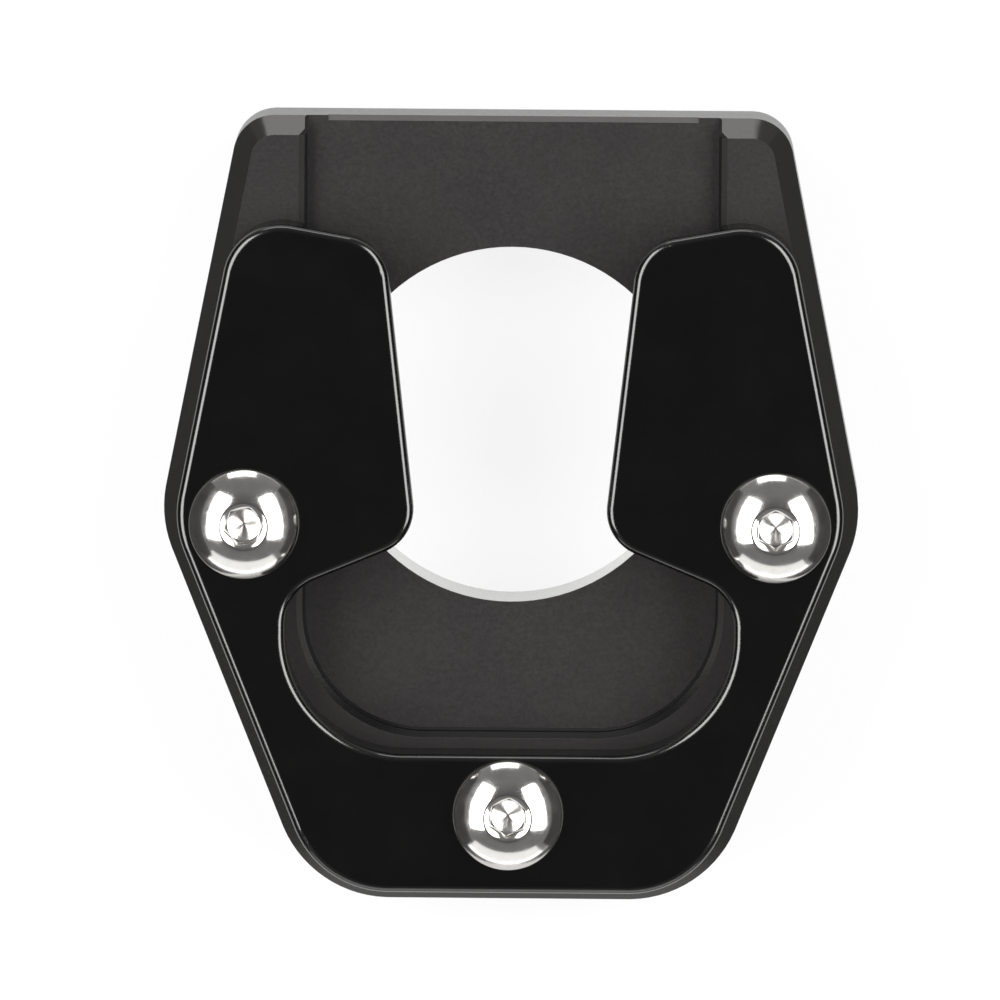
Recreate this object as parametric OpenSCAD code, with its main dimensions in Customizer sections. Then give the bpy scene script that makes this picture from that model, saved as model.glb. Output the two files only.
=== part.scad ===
// Kickstand foot enlarger. A pocketed base plate takes the foot of a side
// stand, a horseshoe clamp plate closes over that foot, and three button-head
// screws pull the two plates together.
// +Y is the open end, where the foot slides in, and +Z is up. The origin lies
// on the underside, below the middle of the base plate.

/* [Outline] */
// Length of the base plate, from the open end to the toe
plate_len = 68; // [62:0.5:80]
// Width between the two side corners, measured where their edges would meet
plate_w = 60.7; // [58:0.1:70]
// Width of the open end, measured the same way
heel_w = 47; // [44:0.5:56]
// Width of the toe, measured the same way
toe_w = 34.2; // [28:0.2:44]
// Distance from the open end to the side corners
wide_at = 34.95; // [32:0.05:40]
// Radius of the two corners at the open end
heel_r = 3.6; // [2.5:0.1:6]
// Radius of the two side corners
side_r = 10; // [6:0.5:16]
// Radius of the two toe corners
toe_r = 10; // [6:0.5:13]

/* [Base plate] */
// Thickness of the base plate
base_t = 8.4; // [7:0.1:12]
// Bevel round the upper edge of the base plate
top_bevel = 1.6; // [0.8:0.1:2]
// Bevel round the lower edge of the base plate
sole_bevel = 0.4; // [0.2:0.1:1]
// Radius of the round hole through the pocket's floor
hole_r = 15.4; // [10:0.1:16]
// Distance from the open end to the centre of that hole
hole_at = 26.7; // [22:0.1:30]

/* [Foot pocket] */
// Width of the pocket, from wall to wall
pocket_w = 35.9; // [33:0.1:37]
// Depth of the pocket
pocket_depth = 1.7; // [1:0.1:3]
// Distance from the open end to the pocket's toe wall
pocket_len = 53.3; // [50:0.1:54]
// Radius of the pocket's two corners
pocket_r = 10.5; // [6:0.5:14]
// Bevel along the pocket's upper edge
pocket_bevel = 0.5; // [0.2:0.1:0.8]
// Bevel left by the cutter along the foot of the pocket's walls
pocket_foot = 0.25; // [0.1:0.05:0.5]
// Bevel on the floor's edge at the open end
lip_bevel = 0.45; // [0.2:0.05:0.8]
// Length of floor edge left sharp beside each wall
lip_margin = 2; // [1:0.1:4]
// Depth of the relief under the clamp's arms, which makes room for the foot
relief_depth = 2.6; // [1.5:0.1:3]

/* [Clamp plate] */
// Thickness of the clamp plate
clamp_t = 4.6; // [4:0.1:7]
// Distance of the clamp's outline inside the base plate's
clamp_inset = 1.3; // [1:0.1:2]
// Radius of the rounded upper edge
clamp_round = 0.6; // [0.3:0.1:1]
// Distance from the open end to the inner corners of the arms' tips
tip_at = 10.4; // [7:0.1:14]
// Slope of the arms' tips, in degrees
tip_slope = 10; // [0:1:15]
// Gap between the arms at their tips
tip_gap = 21.8; // [18:0.2:24]
// Gap between the arms at their shoulders
shoulder_gap = 16; // [12:0.2:20]
// Distance from the open end to the shoulders
shoulder_at = 36; // [33:0.1:38]
// Slope of the shoulders' edges, in degrees
shoulder_slope = 22.5; // [15:0.5:28]
// Radius of the tips' outer corners
tip_outer_r = 5; // [3:0.1:6]
// Radius of the tips' inner corners
tip_inner_r = 4.2; // [2:0.1:5]
// Radius of the shoulders
shoulder_r = 4; // [2:0.1:5]
// Distance of the window's edge outside the pocket's walls
window_gap = 1.4; // [1:0.1:2.4]
// Radius of the window's toe corners
window_r = 10.3; // [6:0.1:11]
// Radius of the window's corners below the shoulders
neck_r = 4.2; // [3:0.1:4.5]

/* [Screws] */
// Nominal diameter of the screws
screw_d = 5; // [4:0.5:6]
// Length of the screws under the head
screw_len = 12; // [10:0.5:12.5]
// Diameter of the button heads
head_d = 9.5; // [8:0.1:10.5]
// Height of the button heads
head_h = 2.75; // [2:0.05:3.3]
// Width across the flats of the hexagon socket
socket_af = 3; // [2.5:0.1:3.6]
// Depth of the hexagon socket
socket_depth = 1.7; // [1:0.1:1.9]
// Diameter of the round lead-in at the socket's mouth
socket_mouth_d = 4.05; // [3.5:0.05:4.6]
// Distance of the side screws inside the side corners
side_screw_in = 7.5; // [7:0.05:8.5]
// Distance from the open end to the side screws
side_screw_at = 34.7; // [32:0.1:36]
// Distance of the toe screw inside the toe edge
toe_screw_in = 8.2; // [7:0.1:9]

/* [Fits] */
// Clearance round a screw in the clamp plate
clearance = 0.25; // [0.1:0.05:0.5]
// Play of a screw's thread in the base plate
thread_play = 0.04; // [0.02:0.01:0.1]

/* [Hidden] */
$fn = 96;

heel_y = plate_len / 2;
toe_y = -plate_len / 2;
top_z = base_t + clamp_t;
// How far a cutter stands out of what it cuts
past = 0.5;
// Radius of a rounded edge's arc as a multiple of the edge's size
round_ease = 1.25;
// How far one cutter laps over the next where it carries on outside the outline
lap = 0.4;
// Added to the radius of a corner's cutter, so that it crosses its neighbours
// at a small angle and doesn't only touch them
proud = 0.003;

// Corners of the base plate, counter-clockwise, each as [x, y, radius]
PLATE = [
    [heel_w / 2, heel_y, heel_r],
    [-heel_w / 2, heel_y, heel_r],
    [-plate_w / 2, heel_y - wide_at, side_r],
    [-toe_w / 2, toe_y, toe_r],
    [toe_w / 2, toe_y, toe_r],
    [plate_w / 2, heel_y - wide_at, side_r]
];

// Corners of the foot pocket, which runs out through the open end
POCKET = [
    [pocket_w / 2, heel_y + past, 0],
    [-pocket_w / 2, heel_y + past, 0],
    [-pocket_w / 2, heel_y - pocket_len, pocket_r],
    [pocket_w / 2, heel_y - pocket_len, pocket_r]
];

// Corners of the clamp plate. Its outer ones lie on the base plate's outline
// moved inwards, and its window follows the pocket.
RIM = inset(PLATE, clamp_inset);
TIP_IN = [tip_gap / 2, heel_y - tip_at];
TIP_OUT = crossing(TIP_IN, [cos(tip_slope), sin(tip_slope)], xy(RIM[5]), xy(RIM[0]) - xy(RIM[5]));
SHOULDER = [shoulder_gap / 2, heel_y - shoulder_at];
window_x = pocket_w / 2 + window_gap;
window_y = heel_y - pocket_len - window_gap;
neck_y = SHOULDER[1] - (window_x - SHOULDER[0]) * tan(shoulder_slope);
ARM = [
    [TIP_OUT[0], TIP_OUT[1], tip_outer_r],
    [TIP_IN[0], TIP_IN[1], tip_inner_r],
    [SHOULDER[0], SHOULDER[1], shoulder_r],
    [window_x, neck_y, neck_r],
    [window_x, window_y, window_r]
];
CLAMP = concat([RIM[4], RIM[5]], ARM, mirrored(ARM), [RIM[2], RIM[3]]);

// Screw places as [x, y, turn of the socket]
SIDE_SCREW = [plate_w / 2 - side_screw_in, heel_y - side_screw_at];
LEFT = [-SIDE_SCREW[0], SIDE_SCREW[1], 12];
RIGHT = [SIDE_SCREW[0], SIDE_SCREW[1], 30];
TOE = [0, toe_y + toe_screw_in, 25];
SCREWS = [LEFT, RIGHT, TOE];

// Rim of a button head, and the arc of its dome from the rim to the mouth
rim_h = 0.27 * head_h;
rim_r = head_d / 2 - rim_h / 2;
mouth_r = socket_mouth_d / 2;
dome_z = (pow(mouth_r, 2) + pow(head_h, 2) - pow(rim_r, 2) - pow(rim_h, 2)) / (2 * (head_h - rim_h));
dome_r = norm([rim_r, rim_h - dome_z]);
tip_chamfer = 0.1 * screw_d;

// Corner arithmetic on lists of [x, y, radius]
function xy(c) = [c[0], c[1]];
function unit(v) = v / norm(v);
function before(ps, i) = ps[(i + len(ps) - 1) % len(ps)];
function after(ps, i) = ps[(i + 1) % len(ps)];
function back(ps, i) = unit(xy(before(ps, i)) - xy(ps[i]));
function ahead(ps, i) = unit(xy(after(ps, i)) - xy(ps[i]));
function half_angle(ps, i) = acos(back(ps, i) * ahead(ps, i)) / 2;
function reach(ps, i) = ps[i][2] / tan(half_angle(ps, i));
function arc_start(ps, i) = xy(ps[i]) + back(ps, i) * reach(ps, i);
function arc_end(ps, i) = xy(ps[i]) + ahead(ps, i) * reach(ps, i);
function arc_centre(ps, i) =
    xy(ps[i]) + unit(back(ps, i) + ahead(ps, i)) * ps[i][2] / sin(half_angle(ps, i));
function is_convex(ps, i) = cross(-back(ps, i), ahead(ps, i)) > 0;
function heading(v) = atan2(v[1], v[0]);
function crossing(p, u, q, v) = p + u * cross(q - p, v) / cross(u, v);
function mirrored(ps) = [for (i = [len(ps) - 1:-1:0]) [-ps[i][0], ps[i][1], ps[i][2]]];

// A convex list of corners moved inwards by d
function inward(ps, i) = [-ahead(ps, i)[1], ahead(ps, i)[0]];
function inset(ps, d) = [for (i = [0:len(ps) - 1])
    let (j = (i + len(ps) - 1) % len(ps))
    let (p = crossing(xy(ps[j]) + d * inward(ps, j), ahead(ps, j), xy(ps[i]) + d * inward(ps, i), ahead(ps, i)))
    [p[0], p[1], ps[i][2] - d]];

// The slice of a corner's circle between the ends of its arc
module slice(ps, i) {
    intersection() {
        translate(arc_centre(ps, i)) circle(ps[i][2]);
        polygon([arc_centre(ps, i), arc_start(ps, i), xy(ps[i]), arc_end(ps, i)]);
    }
}

// The flat shape with those corners, each rounded by a true arc
module rounded(ps) {
    difference() {
        union() {
            polygon([for (i = [0:len(ps) - 1]) each [arc_start(ps, i), arc_end(ps, i)]]);
            for (i = [0:len(ps) - 1])
                if (ps[i][2] > 0 && is_convex(ps, i)) slice(ps, i);
        }
        for (i = [0:len(ps) - 1])
            if (ps[i][2] > 0 && !is_convex(ps, i)) slice(ps, i);
    }
}

// Carry a flat profile round the corners and along the straight runs of an
// outline. The profile's x is the distance outwards, and its y is the height.
// Arcs lap over their neighbours at hollow corners, and runs at the others,
// because that side of the join lies outside the outline.
function overhang(ps, i) = is_convex(ps, i) ? 0 : lap / ps[i][2] * 180 / PI;
function run_lap(ps, i) = is_convex(ps, i) ? lap : 0;

module along_corners(ps) {
    for (i = [0:len(ps) - 1]) if (ps[i][2] > 0) {
        turn = 180 - 2 * half_angle(ps, i) + 2 * overhang(ps, i);
        first = is_convex(ps, i) ? arc_start(ps, i) : arc_end(ps, i);
        translate(arc_centre(ps, i))
            rotate([0, 0, heading(first - arc_centre(ps, i)) - overhang(ps, i)])
                rotate_extrude(angle = turn)
                    translate([ps[i][2] + proud, 0])
                        mirror([is_convex(ps, i) ? 0 : 1, 0]) children();
    }
}

module along_runs(ps) {
    for (i = [0:len(ps) - 1]) {
        j = (i + 1) % len(ps);
        run = arc_start(ps, j) - arc_end(ps, i);
        translate(arc_start(ps, j) + unit(run) * run_lap(ps, j))
            rotate([0, 0, heading(run)])
                rotate([90, 0, -90])
                    linear_extrude(norm(run) + run_lap(ps, i) + run_lap(ps, j)) children();
    }
}

// Its first child with its second, a profile, cut away along the outline at
// height z. Corners go first, so that no cutter meets another.
module edged(ps, z) {
    difference() {
        difference() {
            children(0);
            translate([0, 0, z]) along_corners(ps) children(1);
        }
        translate([0, 0, z]) along_runs(ps) children(1);
    }
}

// Profiles that cut an outer edge, seen with the outline at x = 0 and the face at y = 0
module bevel_above(c) {
    polygon([[-c - past, past], [past, -c - past], [past, past]]);
}

module bevel_below(c) {
    mirror([0, 1]) bevel_above(c);
}

// A rounded edge. Its arc has a slightly larger radius than r, so that it
// meets both faces at a small angle.
module round_above(r) {
    in = r * (1 + sqrt(2 * pow(round_ease, 2) - 1)) / 2;
    difference() {
        translate([-in, -in]) square(in + past);
        translate([-in, -in]) circle(r * round_ease);
    }
}

// The same for the upper edge of a pocket, whose walls lie outside its outline
module pocket_edge(c) {
    polygon([[-past, past], [c + past, past], [-past, -c - past]]);
}

// The space that the foot takes, from the pocket's floor up into the relief
module foot_space() {
    translate([0, 0, base_t - pocket_depth])
        edged(POCKET, 0) {
            linear_extrude(pocket_depth + relief_depth) rounded(POCKET);
            bevel_below(pocket_foot);
        }
}

module lip_cut() {
    w = pocket_w - 2 * lip_margin;
    translate([-w / 2, heel_y, base_t - pocket_depth])
        rotate([90, 0, 90])
            linear_extrude(w) bevel_above(lip_bevel);
}

module base_plate() {
    color([0.16, 0.16, 0.165])
        difference() {
            edged(POCKET, base_t) {
                edged(PLATE, base_t) {
                    edged(PLATE, 0) {
                        linear_extrude(base_t) rounded(PLATE);
                        bevel_below(sole_bevel);
                    }
                    bevel_above(top_bevel);
                }
                pocket_edge(pocket_bevel);
            }
            foot_space();
            lip_cut();
            translate([0, heel_y - hole_at, -past]) cylinder(r = hole_r, h = base_t);
            for (s = SCREWS)
                translate([s[0], s[1], -past]) cylinder(d = screw_d, h = base_t + 2 * past);
        }
}

module clamp_plate() {
    color([0.07, 0.07, 0.07])
        difference() {
            edged(CLAMP, top_z) {
                translate([0, 0, base_t]) linear_extrude(clamp_t) rounded(CLAMP);
                round_above(clamp_round);
            }
            foot_space();
            for (s = SCREWS)
                translate([s[0], s[1], base_t - past])
                    cylinder(d = screw_d + 2 * clearance, h = clamp_t + 2 * past);
        }
}

// A button-head screw with its seat at the origin
module screw() {
    shank_r = screw_d / 2 - thread_play;
    difference() {
        union() {
            rotate_extrude() {
                square([rim_r, rim_h]);
                translate([rim_r, rim_h / 2]) circle(rim_h / 2);
                intersection() {
                    translate([0, dome_z]) circle(dome_r);
                    translate([0, rim_h]) square([rim_r, head_h - rim_h]);
                }
            }
            translate([0, 0, tip_chamfer - screw_len]) cylinder(r = shank_r, h = screw_len - tip_chamfer);
            translate([0, 0, -screw_len]) cylinder(r1 = shank_r - tip_chamfer, r2 = shank_r, h = tip_chamfer);
        }
        translate([0, 0, head_h - socket_depth])
            cylinder(d = socket_af / cos(30), h = socket_depth + past, $fn = 6);
        lead = mouth_r - socket_af / 2;
        translate([0, 0, head_h - lead / 2])
            cylinder(r1 = socket_af / 2, r2 = mouth_r, h = lead / 2);
    }
}

module screw_at(place) {
    color([0.75, 0.75, 0.76])
        translate([place[0], place[1], top_z]) rotate([0, 0, place[2]]) screw();
}

module screw_left() { screw_at(LEFT); }
module screw_right() { screw_at(RIGHT); }
module screw_toe() { screw_at(TOE); }

base_plate();
clamp_plate();
screw_left();
screw_right();
screw_toe();
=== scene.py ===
import math

import bpy
from mathutils import Matrix, Vector


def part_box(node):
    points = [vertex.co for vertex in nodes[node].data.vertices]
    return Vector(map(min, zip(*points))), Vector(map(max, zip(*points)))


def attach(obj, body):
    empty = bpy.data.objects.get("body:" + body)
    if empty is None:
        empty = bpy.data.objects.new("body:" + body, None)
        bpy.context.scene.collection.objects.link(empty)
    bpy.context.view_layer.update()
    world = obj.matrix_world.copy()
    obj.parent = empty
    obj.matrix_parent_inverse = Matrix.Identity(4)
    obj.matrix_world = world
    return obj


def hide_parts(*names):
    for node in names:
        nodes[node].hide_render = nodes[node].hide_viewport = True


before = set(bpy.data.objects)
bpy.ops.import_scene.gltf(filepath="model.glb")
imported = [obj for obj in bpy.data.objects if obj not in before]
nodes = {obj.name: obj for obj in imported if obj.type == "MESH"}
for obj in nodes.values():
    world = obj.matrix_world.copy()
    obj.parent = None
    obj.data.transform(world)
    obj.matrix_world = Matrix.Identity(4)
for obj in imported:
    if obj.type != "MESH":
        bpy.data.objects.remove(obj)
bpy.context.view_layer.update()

MM = 0.001


# Camera: almost straight above, a little towards the open end. Its place was fitted to the
# photograph's edges at their real sizes. Lengths are in metres and angles in radians.

AIM = Vector((-0.877, 1.367, 12.0)) * MM
CAMERA_AWAY = 1.3538
VIEW_ACROSS = 0.086
TILT_BACK = 0.12107
TILT_SIDE = -0.014946
TURN = -0.0064177
# Width of the sensor in millimetres, as Blender takes it.
SENSOR = 36.0

camera_data = bpy.data.cameras.new("studio_camera")
camera_data.sensor_width = SENSOR
camera_data.lens = SENSOR * CAMERA_AWAY / VIEW_ACROSS
camera_data.clip_start = 0.01
camera_data.clip_end = 20.0
camera = bpy.data.objects.new("studio_camera", camera_data)
bpy.context.scene.collection.objects.link(camera)
to_view = (Matrix.Rotation(TURN, 4, "Z") @ Matrix.Rotation(TILT_BACK, 4, "X")
           @ Matrix.Rotation(TILT_SIDE, 4, "Y"))
camera.matrix_world = (Matrix.Translation(AIM) @ to_view.transposed()
                       @ Matrix.Translation((0, 0, CAMERA_AWAY)))
bpy.context.scene.camera = camera
bpy.context.scene.view_settings.view_transform = "Standard"


# Building materials from nodes

# Sockets of a Mix node, which share their names: its share, its numbers and its colours.
SHARE, NUMBER_1, NUMBER_2, COLOUR_1, COLOUR_2 = 0, 2, 3, 6, 7
NUMBER_OUT, COLOUR_OUT = 0, 2

# Most values of a noise lie between these.
NOISE_LOW = 0.3
NOISE_HIGH = 0.7


def tone(code):
    """An sRGB hex colour as linear values."""
    parts = [int(code[i:i + 2], 16) / 255 for i in (1, 3, 5)]
    return (*[p / 12.92 if p <= 0.04045 else ((p + 0.055) / 1.055) ** 2.4 for p in parts], 1.0)


def add(tree, kind, settings=None, links=None):
    """Adds a node. settings are its properties and sockets, links the outputs that feed it."""
    node = tree.nodes.new("ShaderNode" + kind)
    for key, value in (settings or {}).items():
        if isinstance(key, str) and key in node.bl_rna.properties:
            setattr(node, key, value)
        else:
            node.inputs[key].default_value = value
    for key, output in (links or {}).items():
        tree.links.new(output, node.inputs[key])
    return node


def shape_ramp(ramp, stops):
    """Sets a colour ramp's stops, each a place and a grey or a colour."""
    while len(ramp.elements) < len(stops):
        ramp.elements.new(0.5)
    for element, (place, value) in zip(ramp.elements, stops):
        element.position = place
        element.color = (value, value, value, 1) if isinstance(value, float) else value


def new_material(name):
    """A material with its node tree, which is empty."""
    material = bpy.data.materials.new(name)
    material.use_nodes = True
    material.node_tree.nodes.clear()
    return material, material.node_tree


def inside(tree, measure, low, high):
    """1 where the measure lies between low and high, and 0 elsewhere."""
    above = add(tree, "Math", {"operation": "GREATER_THAN", 1: low}, {0: measure})
    below = add(tree, "Math", {"operation": "LESS_THAN", 1: high}, {0: measure})
    both = add(tree, "Math", {"operation": "MULTIPLY"},
               {0: above.outputs["Value"], 1: below.outputs["Value"]})
    return both.outputs["Value"]


# The base plate: bead-blasted, dark anodised aluminium

# Widths of its patterns. Real blasting grain is 0.1 mm; drawn at 0.3 mm, so that it shows.
GRAIN = 0.3 * MM
DYE_CLOUD = 9 * MM

# Places on the plate, as in the source.
TOP_Z = 8.4 * MM
FLOOR_Z = 6.7 * MM
HEEL_BEVEL_Y = 32.4 * MM
BORE_R = 15.4 * MM
BORE_Y = 7.3 * MM
POCKET_BEVEL = 0.5 * MM

# The pocket's walls and their bevel lie 0.1 mm inside these places.
POCKET_SIDE_X = 18.55 * MM
POCKET_TOE_Y = -19.9 * MM

# Painted shade darkens the walls' bevel from the first place to the second, where it turns to
# the toe.
TOE_FROM_Y = -13 * MM
TOE_TO_Y = -17 * MM

# The cut surfaces' finish starts this far above the floor and ends this far below the top. The
# bore's finish ends this far outside its wall.
OFF_FLOOR = 0.006 * MM
OFF_TOP = 0.01 * MM
OFF_BORE = 0.03 * MM


def pocket_walls(tree, at, cut):
    """1 on the pocket's side walls, its toe wall and their bevel, which get painted shade, and
    0 elsewhere.
    """
    across = inside(tree, at.outputs["X"], -POCKET_SIDE_X, POCKET_SIDE_X)
    along = inside(tree, at.outputs["Y"], POCKET_TOE_Y, HEEL_BEVEL_Y)
    in_plan = add(tree, "Math", {"operation": "MULTIPLY"}, {0: across, 1: along})
    walls = add(tree, "Math", {"operation": "MULTIPLY"},
                {0: in_plan.outputs["Value"], 1: cut})
    return walls.outputs["Value"]


def pocket_wall_painted_shade(tree, at):
    """Painted shade for the pocket: its walls are painted nearly black, and so is their bevel
    at the toe. The bevel along the sides is painted a lighter grey."""
    # Painted shade: full below the bevel, and on the bevel as it turns to the toe.
    below_bevel = add(tree, "Math", {"operation": "LESS_THAN", 1: TOP_Z - POCKET_BEVEL},
                      {0: at.outputs["Z"]})
    toe = add(tree, "MapRange", {"From Min": TOE_FROM_Y, "From Max": TOE_TO_Y},
              {"Value": at.outputs["Y"]})
    painted_shade_share = add(tree, "Math", {"operation": "MAXIMUM"},
               {0: below_bevel.outputs["Value"], 1: toe.outputs["Result"]})
    grey = add(tree, "Mix", {"data_type": "RGBA", COLOUR_1: tone("#393837"),
                             COLOUR_2: tone("#191818")}, {SHARE: painted_shade_share.outputs["Value"]})
    return grey.outputs[COLOUR_OUT]


def bore_wall(tree, at):
    """1 on the wall of the big round hole, and 0 elsewhere."""
    from_axis = add(tree, "Math", {"operation": "SUBTRACT", 1: BORE_Y}, {0: at.outputs["Y"]})
    in_plan = add(tree, "CombineXYZ", None,
                  {"X": at.outputs["X"], "Y": from_axis.outputs["Value"]})
    away = add(tree, "VectorMath", {"operation": "LENGTH"}, {0: in_plan.outputs["Vector"]})
    return inside(tree, away.outputs["Value"], 0.0, BORE_R + OFF_BORE)


def bead_blasted_dark_anodised_aluminium():
    """Aluminium, milled, blasted with 0.1 mm glass beads and anodised dark grey. The blasting
    gives the eye an even, silky grey with a fine grain. The bevels are cut smoother and look
    darker from above. The pocket's walls are rougher and carry painted shade, and the bore
    mirrors the table."""
    material, tree = new_material("bead_blasted_dark_anodised_aluminium")
    place = add(tree, "TexCoord")
    at = add(tree, "SeparateXYZ", None, {"Vector": place.outputs["Object"]})
    grain = add(tree, "TexNoise", {"Scale": 1 / GRAIN, "Detail": 2.0, "Roughness": 0.6},
                {"Vector": place.outputs["Object"]})
    cloud = add(tree, "TexNoise", {"Scale": 1 / DYE_CLOUD, "Detail": 3.0, "Roughness": 0.55},
                {"Vector": place.outputs["Object"]})
    # The blasted faces: a clouded grey with dark specks.
    grey = add(tree, "ValToRGB", None, {"Fac": cloud.outputs["Fac"]})
    shape_ramp(grey.color_ramp, [(NOISE_LOW, tone("#484646")), (NOISE_HIGH, tone("#4e4c4b"))])
    speck = add(tree, "ValToRGB", None, {"Fac": grain.outputs["Fac"]})
    shape_ramp(speck.color_ramp, [(NOISE_LOW, 0.87), (0.72, 1.0)])
    colour = add(tree, "Mix", {"data_type": "RGBA", "blend_type": "MULTIPLY", SHARE: 1.0},
                 {COLOUR_1: grey.outputs["Color"], COLOUR_2: speck.outputs["Color"]})
    rough = add(tree, "MapRange", {"From Min": NOISE_LOW, "From Max": NOISE_HIGH,
                                   "To Min": 0.3, "To Max": 0.37},
                {"Value": grain.outputs["Fac"]})
    # The bevels and walls, cut smooth, between the pocket's floor and the top face.
    cut = inside(tree, at.outputs["Z"], FLOOR_Z + OFF_FLOOR, TOP_Z - OFF_TOP)
    colour = add(tree, "Mix", {"data_type": "RGBA", COLOUR_2: tone("#3f3e3d")},
                 {SHARE: cut, COLOUR_1: colour.outputs[COLOUR_OUT]})
    rough = add(tree, "Mix", {"data_type": "FLOAT", NUMBER_2: 0.2},
                {SHARE: cut, NUMBER_1: rough.outputs["Result"]})
    # The pocket's walls: rougher, with painted shade, nearly black on the walls and the toe's
    # bevel.
    walls = pocket_walls(tree, at, cut)
    colour = add(tree, "Mix", {"data_type": "RGBA"},
                 {SHARE: walls, COLOUR_1: colour.outputs[COLOUR_OUT],
                  COLOUR_2: pocket_wall_painted_shade(tree, at)})
    rough = add(tree, "Mix", {"data_type": "FLOAT", NUMBER_2: 0.38},
                {SHARE: walls, NUMBER_1: rough.outputs[NUMBER_OUT]})
    # The big round hole, bored smooth: its wall mirrors the white table at a slant.
    bore = bore_wall(tree, at)
    colour = add(tree, "Mix", {"data_type": "RGBA", COLOUR_2: tone("#adacaa")},
                 {SHARE: bore, COLOUR_1: colour.outputs[COLOUR_OUT]})
    rough = add(tree, "Mix", {"data_type": "FLOAT", NUMBER_2: 0.08},
                {SHARE: bore, NUMBER_1: rough.outputs[NUMBER_OUT]})
    bump = add(tree, "Bump", {"Strength": 0.05, "Distance": 0.02 * MM},
               {"Height": grain.outputs["Fac"]})
    shader = add(tree, "BsdfPrincipled", {"Metallic": 0.75},
                 {"Base Color": colour.outputs[COLOUR_OUT],
                  "Roughness": rough.outputs[NUMBER_OUT], "Normal": bump.outputs["Normal"]})
    add(tree, "OutputMaterial", None, {"Surface": shader.outputs["BSDF"]})
    return material


# The clamp plate and the screws: smooth metals with faint marks

# Width of the patches of polishing haze on the clamp plate.
HAZE = 6 * MM


def marked_metal(name, dark, light, smooth, rough, mark, detail=3.0):
    """Metal between two greys and two roughnesses, in marks of one width. The noise has more
    fine detail where detail is higher."""
    material, tree = new_material(name)
    place = add(tree, "TexCoord")
    marks = add(tree, "TexNoise", {"Scale": 1 / mark, "Detail": detail, "Roughness": 0.6},
                {"Vector": place.outputs["Object"]})
    spread = add(tree, "MapRange", {"From Min": NOISE_LOW, "From Max": NOISE_HIGH,
                                    "To Min": smooth, "To Max": rough},
                 {"Value": marks.outputs["Fac"]})
    grey = add(tree, "ValToRGB", None, {"Fac": marks.outputs["Fac"]})
    shape_ramp(grey.color_ramp, [(NOISE_LOW, tone(dark)), (NOISE_HIGH, tone(light))])
    shader = add(tree, "BsdfPrincipled", {"Metallic": 1.0},
                 {"Base Color": grey.outputs["Color"], "Roughness": spread.outputs["Result"]})
    add(tree, "OutputMaterial", None, {"Surface": shader.outputs["BSDF"]})
    return material


def polished_black_anodised_aluminium():
    """Aluminium, polished and anodised black. It looks almost like black glass: nearly black
    from above, with crisp pale lights along the rounded edges and faint polishing haze."""
    return marked_metal("polished_black_anodised_aluminium", "#484848", "#4c4c4b", 0.14, 0.18,
                        HAZE, detail=4.0)


def stainless_steels():
    """The three finishes of a screw. Its thread and rim are as the lathe leaves them, matt and
    greyer. Its dome is polished: it mirrors the studio, a little softened. Its punched socket
    is bright, but scatters the light. The real marks are some hundredths of a millimetre wide;
    drawn at 0.5 to 1 mm, so that they show."""
    return (
        marked_metal("turned_stainless_steel", "#86847f", "#918f8b", 0.3, 0.38, 0.5 * MM),
        marked_metal("polished_stainless_steel", "#c6c4c0", "#cdcbc8", 0.09, 0.16, 1.0 * MM),
        marked_metal("punched_stainless_steel", "#d2d0cc", "#dcdad7", 0.2, 0.27, 0.6 * MM),
    )


FINISHES = {
    "base_plate": bead_blasted_dark_anodised_aluminium(),
    "clamp_plate": polished_black_anodised_aluminium(),
}
for plate, finish in FINISHES.items():
    for material_slot in nodes[plate].material_slots:
        material_slot.material = finish


def make_mesh(name, corners, faces):
    """A mesh object from its corners and faces."""
    mesh = bpy.data.meshes.new(name)
    mesh.from_pydata(corners, [], faces)
    made = bpy.data.objects.new(name, mesh)
    bpy.context.scene.collection.objects.link(made)
    return made


# Screws: M5 x 12 button heads. The main sizes repeat the source's. The dome, the rim, the
# thread and the socket's floor are finer here.

HEAD_R = 4.75 * MM
HEAD_H = 2.75 * MM
RIM_EDGE = 0.12 * MM
RIM_ROUND = 0.3 * MM
DOME_R = 6.2 * MM
MOUTH_R = 2.025 * MM
MOUTH_SLOPE = 0.5
FLATS = 3.0 * MM
SOCKET_DEPTH = 1.7 * MM
SHANK_R = 2.46 * MM
SCREW_LEN = 12 * MM
TIP_CHAMFER = 0.5 * MM

# The thread. The last two numbers slope its flanks, and leave its crest and its root flat.
PITCH = 0.8 * MM
THREAD_DEPTH = 0.46 * MM
FLANK_STEEPNESS = 1.35
FLANK_START = 0.12

# The cone that the drill leaves in the socket's floor, and its rings as shares of its radius.
DRILL_R = 0.47 * FLATS
DRILL_SLOPE = math.tan(math.radians(31))
DRILL_RINGS = (1, 0.75, 0.5, 0.25, 0.06)

# Steps round each ring, and from ring to ring.
AROUND = 96
THREAD_STEPS = 120
RIM_STEPS = 6
DOME_STEPS = 20

# The ring where the polished dome starts, and the socket's upper edge.
DOME_RING = THREAD_STEPS + RIM_STEPS + 2
SOCKET_RING = DOME_RING + DOME_STEPS + 2

# Width of the broken edges, and the angle from which an edge is broken.
BROKEN_EDGE = 0.035 * MM
EDGE_ANGLE = math.radians(24)

# How far each socket is turned, in degrees, as in the source.
SOCKET_TURNS = {"screw_left": 12, "screw_right": 30, "screw_toe": 25}


def hexagon_r(angle):
    """Distance from the socket's axis to its wall."""
    return FLATS / 2 / math.cos((angle % (math.pi / 3)) - math.pi / 6)


def thread_r(height, angle):
    """Radius of the threaded shank, with a chamfered tip. height is below the head, and so
    less than 0."""
    phase = (height / PITCH + angle / math.tau) % 1
    flank = min(1, max(0, abs(2 * phase - 1) * FLANK_STEEPNESS - FLANK_START))
    return min(SHANK_R - THREAD_DEPTH * flank,
               SHANK_R - TIP_CHAMFER + max(0, SCREW_LEN + height))


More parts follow.
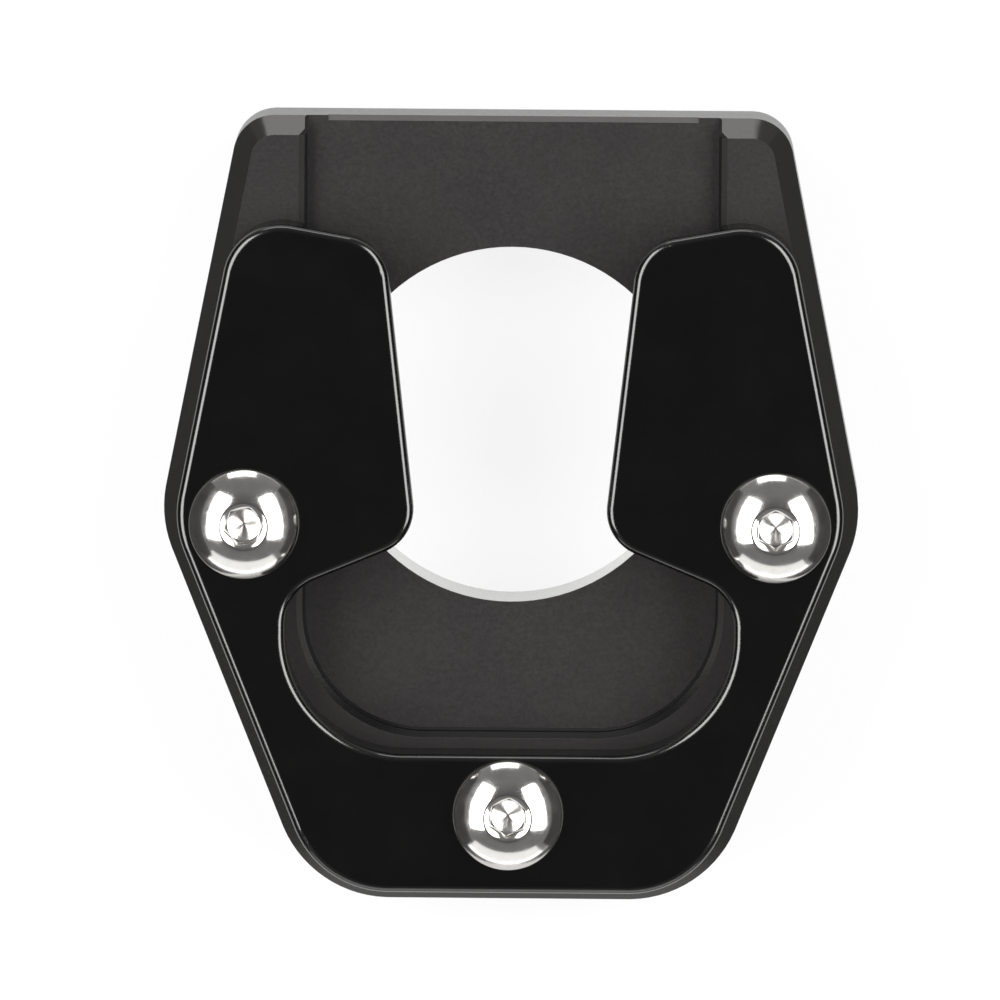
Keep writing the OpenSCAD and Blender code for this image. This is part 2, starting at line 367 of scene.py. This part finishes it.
def screw_rings():
    """The screw's outline as rings of (radius, height) for each angle, from its tip to the
    socket's floor."""
    angles = [math.tau * i / AROUND for i in range(AROUND)]
    rings = []
    for i in range(THREAD_STEPS + 1):
        height = -SCREW_LEN + SCREW_LEN * i / THREAD_STEPS
        rings.append([(thread_r(height, a), height) for a in angles])
    rings.append([(HEAD_R - RIM_EDGE, 0.0)] * AROUND)
    rings.append([(HEAD_R, RIM_EDGE)] * AROUND)
    # A rounded rim that runs into the dome without a kink.
    low = math.acos((HEAD_R - RIM_ROUND) / (DOME_R - RIM_ROUND))
    high = math.acos(MOUTH_R / DOME_R)
    dome_z = HEAD_H - DOME_R * math.sin(high)
    rim_z = dome_z + (DOME_R - RIM_ROUND) * math.sin(low)
    for i in range(RIM_STEPS):
        a = low * i / RIM_STEPS
        rings.append([(HEAD_R - RIM_ROUND + RIM_ROUND * math.cos(a),
                       rim_z + RIM_ROUND * math.sin(a))] * AROUND)
    for i in range(DOME_STEPS + 1):
        a = low + (high - low) * i / DOME_STEPS
        rings.append([(DOME_R * math.cos(a), dome_z + DOME_R * math.sin(a))] * AROUND)
    # The socket: its slanted mouth, its six walls and its conical floor.
    rings.append([(hexagon_r(a), HEAD_H - (MOUTH_R - hexagon_r(a)) * MOUTH_SLOPE)
                  for a in angles])
    floor_z = HEAD_H - SOCKET_DEPTH
    rings.append([(hexagon_r(a), floor_z) for a in angles])
    for share in DRILL_RINGS:
        rings.append([(DRILL_R * share, floor_z - DRILL_R * (1 - share) * DRILL_SLOPE)]
                     * AROUND)
    return rings


def make_screw(name, turn, finishes):
    """A detailed screw in the place of the CAD screw of that name. finishes are those of its
    turned, polished and punched parts."""
    low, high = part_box(name)
    rings = screw_rings()
    corners = []
    for ring in rings:
        for i, (r, z) in enumerate(ring):
            a = math.tau * i / AROUND + math.radians(turn)
            corners.append(((low.x + high.x) / 2 + r * math.cos(a),
                            (low.y + high.y) / 2 + r * math.sin(a), high.z - HEAD_H + z))
    faces = []
    for k in range(len(rings) - 1):
        for i in range(AROUND):
            j = (i + 1) % AROUND
            faces.append((k * AROUND + i, k * AROUND + j,
                          (k + 1) * AROUND + j, (k + 1) * AROUND + i))
    # The tip, and the point of the cone.
    faces.append(tuple(reversed(range(AROUND))))
    last = (len(rings) - 1) * AROUND
    faces.append(tuple(range(last, last + AROUND)))
    screw = make_mesh(name + "_steel", corners, faces)
    for steel in finishes:
        screw.data.materials.append(steel)
    for face in screw.data.polygons:
        face.use_smooth = True
        ring = min(face.vertices) // AROUND
        face.material_index = 0 if ring < DOME_RING else 2 if ring >= SOCKET_RING else 1
    edges = screw.modifiers.new("broken_edges", "BEVEL")
    edges.width = BROKEN_EDGE
    edges.segments = 2
    edges.limit_method = "ANGLE"
    edges.angle_limit = EDGE_ANGLE
    even = screw.modifiers.new("even_shading", "WEIGHTED_NORMAL")
    even.keep_sharp = False
    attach(screw, "root")
    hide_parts(name)


STEELS = stainless_steels()
for screw_name, socket_turn in SOCKET_TURNS.items():
    make_screw(screw_name, socket_turn, STEELS)


# The studio: a white table, soft lamps, two cards and the room. The screws' reflections in the
# photograph show where the lamps stood.

# The table, with its top just below the part, so that the two don't flicker.
TABLE_HALF = 3.0
TABLE_DROP = 0.02 * MM
# Share of pure white in the table that the camera and reflections see.
TABLE_WHITE = 0.84

# The cards, in metres: their near and far edges from the middle, half their length, their
# height, and their lift off the table.
CARD_NEAR = 0.05
CARD_FAR = 0.3
CARD_HALF = 0.3
CARD_TOP = 0.1
CARD_LIFT = 0.0005

# Brightness of the room in reflections, from the floor up to straight overhead.
ROOM_SHADES = [(0.0, 0.3), (0.3, 0.25), (0.6, 0.25), (0.8, 0.16), (0.98, 0.1)]


def matt_white_table():
    """A matt white table under the part. It shows as white, with a faint shadow."""
    material, tree = new_material("matt_white_table")
    path = add(tree, "LightPath")
    seen = add(tree, "Math", {"operation": "MAXIMUM"},
               {0: path.outputs["Is Camera Ray"], 1: path.outputs["Is Glossy Ray"]})
    share = add(tree, "Math", {"operation": "MULTIPLY", 1: TABLE_WHITE},
                {0: seen.outputs["Value"]})
    paint = add(tree, "BsdfDiffuse", {"Color": tone("#ececec")})
    white = add(tree, "Emission", {"Color": tone("#ffffff"), "Strength": 1.0})
    both = add(tree, "MixShader", None, {"Fac": share.outputs["Value"],
                                         1: paint.outputs["BSDF"],
                                         2: white.outputs["Emission"]})
    add(tree, "OutputMaterial", None, {"Surface": both.outputs["Shader"]})
    return material


def soft_box(name, place, aim, width, height, glow):
    """A rectangular soft light that shines from place towards aim. glow is the brightness of
    its face, where 1 is white."""
    data = bpy.data.lights.new(name, "AREA")
    data.shape = "RECTANGLE"
    data.size = width
    data.size_y = height
    data.energy = glow * math.pi * width * height
    lamp = bpy.data.objects.new(name, data)
    bpy.context.scene.collection.objects.link(lamp)
    lamp.location = place
    lamp.rotation_euler = (Vector(aim) - Vector(place)).to_track_quat("-Z", "Y").to_euler()
    lamp.visible_camera = False


def dark_grey_card():
    """Dull dark grey cardboard, which gives the eye nothing but a dark reflection."""
    material, tree = new_material("dark_grey_studio_card")
    paper = add(tree, "BsdfDiffuse", {"Color": tone("#3c3c3c")})
    add(tree, "OutputMaterial", None, {"Surface": paper.outputs["BSDF"]})
    return material


def side_card(name, side, paper):
    """A card beside the part, lying flat and turned up at its far edge. Only reflections see
    it: it keeps the side bevels dark. side is -1 on the left and 1 on the right."""
    near, far = CARD_NEAR * side, CARD_FAR * side
    card = make_mesh(name, [(near, -CARD_HALF, CARD_LIFT), (near, CARD_HALF, CARD_LIFT),
                            (far, CARD_HALF, CARD_LIFT), (far, -CARD_HALF, CARD_LIFT),
                            (far, CARD_HALF, CARD_TOP), (far, -CARD_HALF, CARD_TOP)],
                     [(0, 1, 2, 3), (3, 2, 4, 5)])
    card.visible_camera = False
    card.visible_diffuse = False
    card.visible_shadow = False
    card.data.materials.append(paper)


def studio_room():
    """A room that is white behind the part and grey in reflections."""
    world = bpy.data.worlds.new("studio_room")
    world.use_nodes = True
    room = world.node_tree
    room.nodes.clear()
    place = add(room, "TexCoord")
    height = add(room, "SeparateXYZ", None, {"Vector": place.outputs["Generated"]})
    shade = add(room, "ValToRGB", None, {"Fac": height.outputs["Z"]})
    shape_ramp(shade.color_ramp, ROOM_SHADES)
    path = add(room, "LightPath")
    dim = add(room, "Background", {"Strength": 1.0}, {"Color": shade.outputs["Color"]})
    bright = add(room, "Background", {"Color": tone("#ffffff"), "Strength": 1.0})
    seen = add(room, "MixShader", None, {"Fac": path.outputs["Is Camera Ray"],
                                         1: dim.outputs["Background"],
                                         2: bright.outputs["Background"]})
    add(room, "OutputWorld", None, {"Surface": seen.outputs["Shader"]})
    return world


floor = make_mesh("table", [(x * TABLE_HALF, y * TABLE_HALF, -TABLE_DROP)
                            for x, y in ((-1, -1), (1, -1), (1, 1), (-1, 1))],
                  [(0, 1, 2, 3)])
floor.data.materials.append(matt_white_table())

# Two large boxes light the part and make the bright patches at the sides of the screws.
soft_box("soft_box_left", (-0.6, 0.12, 0.56), (0, 0, 0), 1.1, 0.42, 7.6)
soft_box("soft_box_right", (0.6, 0.12, 0.56), (0, 0, 0), 1.1, 0.42, 7.6)
# A low window behind lights the plate's open end.
soft_box("window_back", (-0.13, 1.5, 0.14), (0, 0, 0.14), 0.95, 0.28, 3.8)
# Strips in front light the toe's bevel and make the crescents low on the screws.
soft_box("strip_front", (-0.1, -1.3, 0.29), (0, 0, 0.2), 2.4, 0.58, 1.2)
soft_box("strip_front_low", (-0.1, -1.25, 0.05), (0, 0, 0.05), 2.4, 0.1, 1.6)

card_paper = dark_grey_card()
side_card("card_left", -1, card_paper)
side_card("card_right", 1, card_paper)

bpy.context.scene.world = studio_room()
